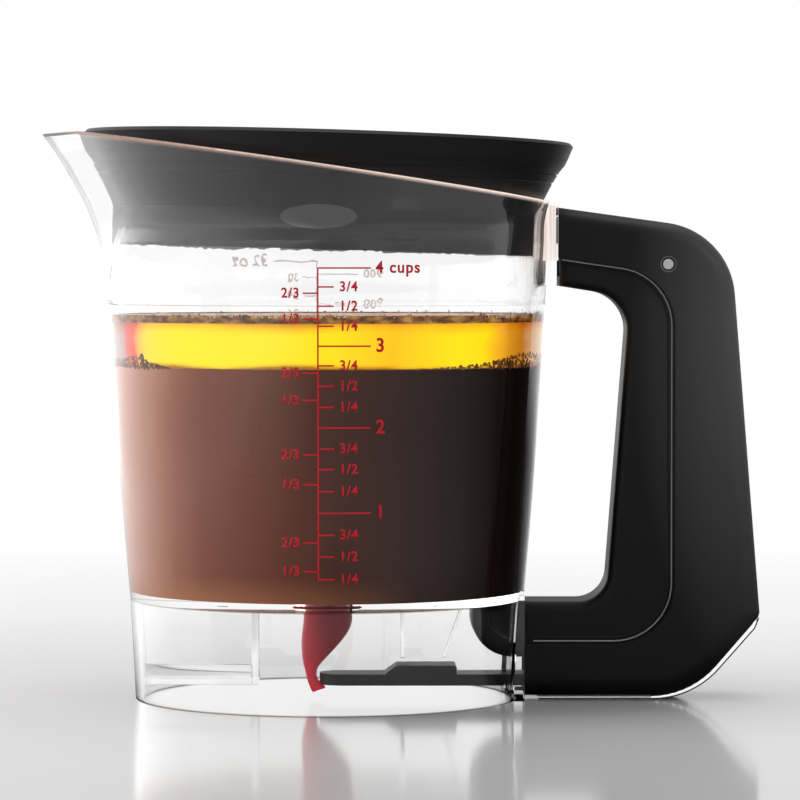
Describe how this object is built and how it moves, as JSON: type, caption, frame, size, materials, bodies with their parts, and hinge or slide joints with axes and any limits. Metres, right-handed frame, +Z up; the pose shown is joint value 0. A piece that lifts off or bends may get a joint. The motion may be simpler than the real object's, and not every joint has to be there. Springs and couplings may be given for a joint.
{
  "type": "gravy fat separator",
  "caption": "Clear measuring jug with a spout, a drop-in strainer lid and a squeeze trigger that opens a nozzle under the floor.",
  "frame": {"origin": "centre of the object's box, on the table plane", "axes": "+Z up, -X towards the spout, +X towards the handle, mirror plane at Y = 0"},
  "size_m": [0.2038, 0.139, 0.1615],
  "materials": {
    "clear_plastic": "clear, polished",
    "black_shell": "satin",
    "black_trigger": "satin",
    "black_slider": "satin",
    "black_lid": "fine satin",
    "steel": "bright, fine-turned",
    "red_silicone": "smooth silicone"
  },
  "bodies": {
    "jug": {"cup": "clear_plastic", "handle_shell": "black_shell", "trigger_pin": "steel", "return_spring": "steel", "nozzle": "red_silicone"},
    "squeeze_trigger": {"trigger": "black_trigger"},
    "valve": {"valve_slider": "black_slider", "link_pin": "steel"},
    "lid": {"strainer_lid": "black_lid"}
  },
  "joints": [
    {"name": "trigger_pivot", "type": "hinge", "parent": "jug", "child": "squeeze_trigger", "pos_m": [0.07555, 0, 0.1234], "axis": [0, -1, 0], "range_deg": [0, 3.5], "stiffness_Nm_per_rad": 4, "springref_deg": -2.86, "deforming": ["return_spring"]},
    {"name": "valve_slide", "type": "slide", "parent": "jug", "child": "valve", "axis": [1, 0, 0], "range_m": [0, 0.00706], "deforming": ["nozzle"]},
    {"name": "lid_lift", "type": "slide", "parent": "jug", "child": "lid", "axis": [0, 0, 1], "range_m": [0, 0.04]}
  ],
  "couplings": [
    {"joint": "valve_slide", "follows": "trigger_pivot", "m_per_rad": 0.1139}
  ]
}
